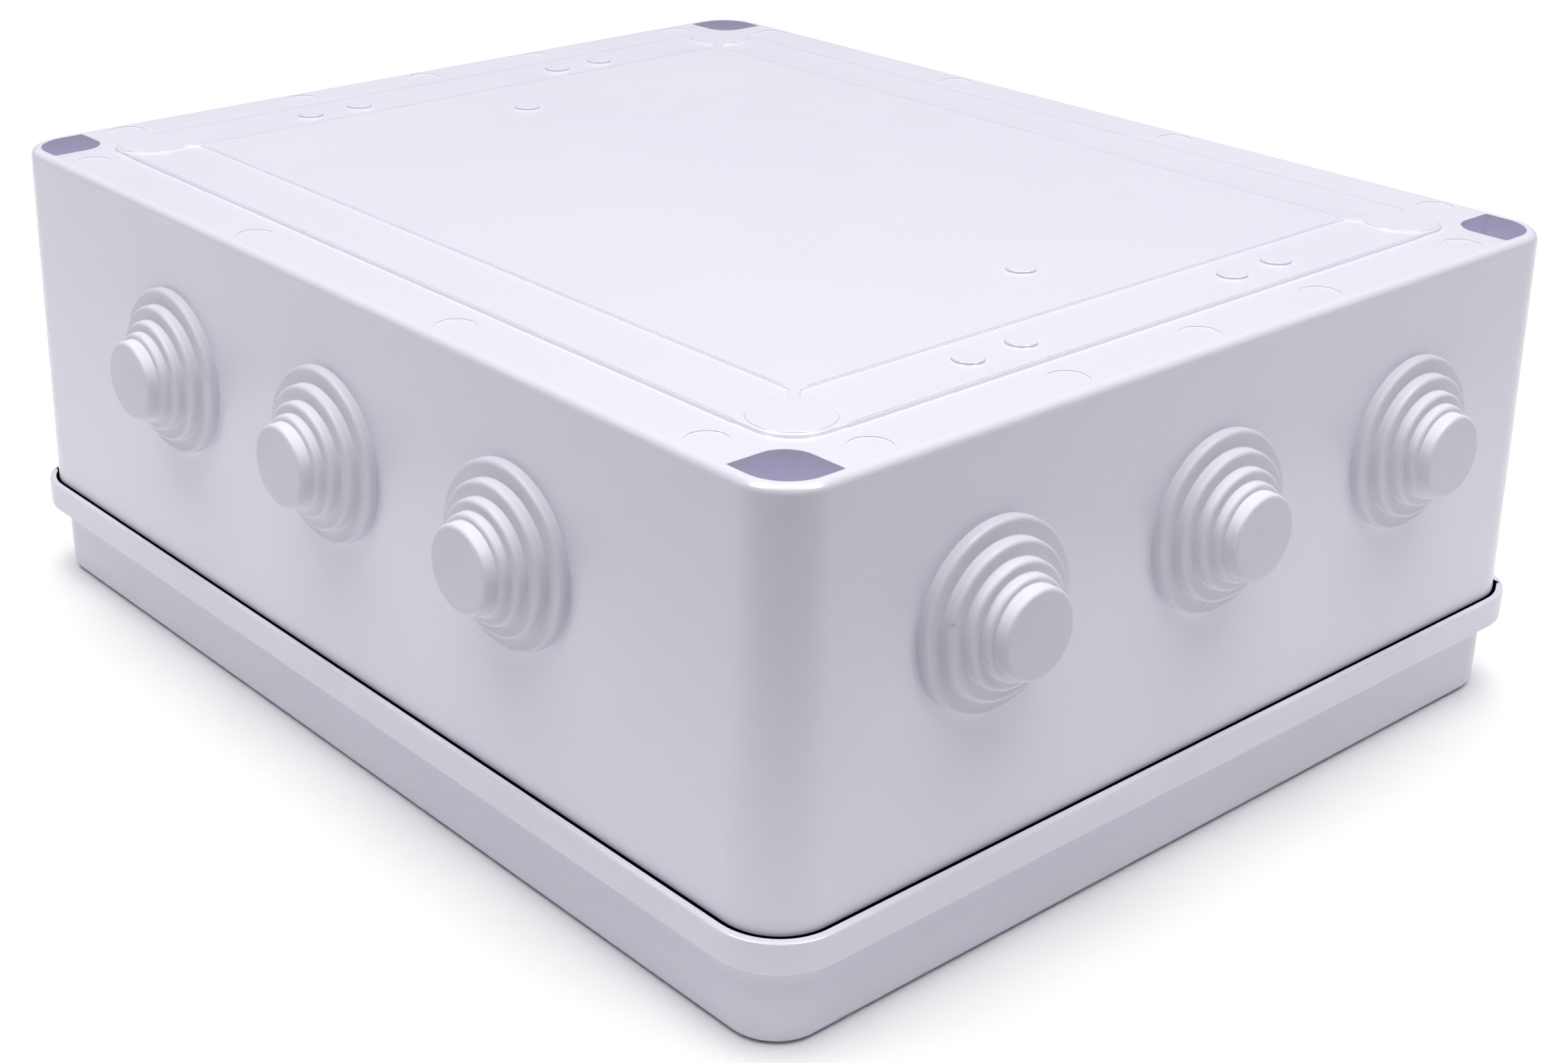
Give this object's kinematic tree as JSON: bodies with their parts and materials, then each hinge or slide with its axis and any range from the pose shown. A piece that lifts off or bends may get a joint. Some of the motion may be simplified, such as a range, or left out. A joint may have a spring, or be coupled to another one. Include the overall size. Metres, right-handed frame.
{
  "type": "weatherproof junction box",
  "caption": "Rectangular plastic junction box lying on its screwed cover, back face up, with stepped rubber cable grommets in its side walls.",
  "frame": {"origin": "under the middle of the box, on the outer face of the cover", "axes": "+Z from the cover to the back of the box, +Y along the long side, +X along the short side"},
  "size_m": [0.2688, 0.3188, 0.118],
  "materials": {
    "base_plastic": "moulded gloss",
    "cover_plastic": "moulded gloss",
    "grommet_rubber": "soft matt",
    "gasket_rubber": "foamed",
    "seal_rubber": "smooth",
    "screw_plastic": "moulded"
  },
  "bodies": {
    "cover": {"cover": "cover_plastic", "cover_gasket": "gasket_rubber"},
    "base": {"base_shell": "base_plastic", "grommet_left_1": "grommet_rubber", "grommet_left_2": "grommet_rubber", "grommet_left_3": "grommet_rubber", "grommet_right_1": "grommet_rubber", "grommet_right_2": "grommet_rubber", "grommet_right_3": "grommet_rubber", "grommet_front_1": "grommet_rubber", "grommet_front_2": "grommet_rubber", "grommet_front_3": "grommet_rubber", "grommet_rear_1": "grommet_rubber", "grommet_rear_2": "grommet_rubber", "grommet_rear_3": "grommet_rubber"},
    "screw_seal_front_left": {"screw_seal_front_left": "seal_rubber"},
    "cover_screw_front_left": {"cover_screw_front_left": "screw_plastic"},
    "screw_seal_front_right": {"screw_seal_front_right": "seal_rubber"},
    "cover_screw_front_right": {"cover_screw_front_right": "screw_plastic"},
    "screw_seal_rear_left": {"screw_seal_rear_left": "seal_rubber"},
    "cover_screw_rear_left": {"cover_screw_rear_left": "screw_plastic"},
    "screw_seal_rear_right": {"screw_seal_rear_right": "seal_rubber"},
    "cover_screw_rear_right": {"cover_screw_rear_right": "screw_plastic"}
  },
  "joints": [
    {"name": "base_lift", "type": "slide", "parent": "cover", "child": "base", "axis": [0, 0, 1], "range_m": [0, 0.12]},
    {"name": "screw_feed_front_left", "type": "slide", "parent": "cover", "child": "screw_seal_front_left", "axis": [0, 0, -1], "range_m": [0, 0.012]},
    {"name": "screw_turn_front_left", "type": "hinge", "parent": "screw_seal_front_left", "child": "cover_screw_front_left", "pos_m": [-0.11078, -0.13578, 0.0143], "axis": [0, 0, -1], "range_deg": [0, 1440]},
    {"name": "screw_feed_front_right", "type": "slide", "parent": "cover", "child": "screw_seal_front_right", "axis": [0, 0, -1], "range_m": [0, 0.012]},
    {"name": "screw_turn_front_right", "type": "hinge", "parent": "screw_seal_front_right", "child": "cover_screw_front_right", "pos_m": [0.11078, -0.13578, 0.0143], "axis": [0, 0, -1], "range_deg": [0, 1440]},
    {"name": "screw_feed_rear_left", "type": "slide", "parent": "cover", "child": "screw_seal_rear_left", "axis": [0, 0, -1], "range_m": [0, 0.012]},
    {"name": "screw_turn_rear_left", "type": "hinge", "parent": "screw_seal_rear_left", "child": "cover_screw_rear_left", "pos_m": [-0.11078, 0.13578, 0.0143], "axis": [0, 0, -1], "range_deg": [0, 1440]},
    {"name": "screw_feed_rear_right", "type": "slide", "parent": "cover", "child": "screw_seal_rear_right", "axis": [0, 0, -1], "range_m": [0, 0.012]},
    {"name": "screw_turn_rear_right", "type": "hinge", "parent": "screw_seal_rear_right", "child": "cover_screw_rear_right", "pos_m": [0.11078, 0.13578, 0.0143], "axis": [0, 0, -1], "range_deg": [0, 1440]}
  ],
  "couplings": [
    {"joint": "screw_turn_front_left", "follows": "screw_feed_front_left", "rad_per_m": 2094.4},
    {"joint": "screw_turn_front_right", "follows": "screw_feed_front_right", "rad_per_m": 2094.4},
    {"joint": "screw_turn_rear_left", "follows": "screw_feed_rear_left", "rad_per_m": 2094.4},
    {"joint": "screw_turn_rear_right", "follows": "screw_feed_rear_right", "rad_per_m": 2094.4}
  ]
}
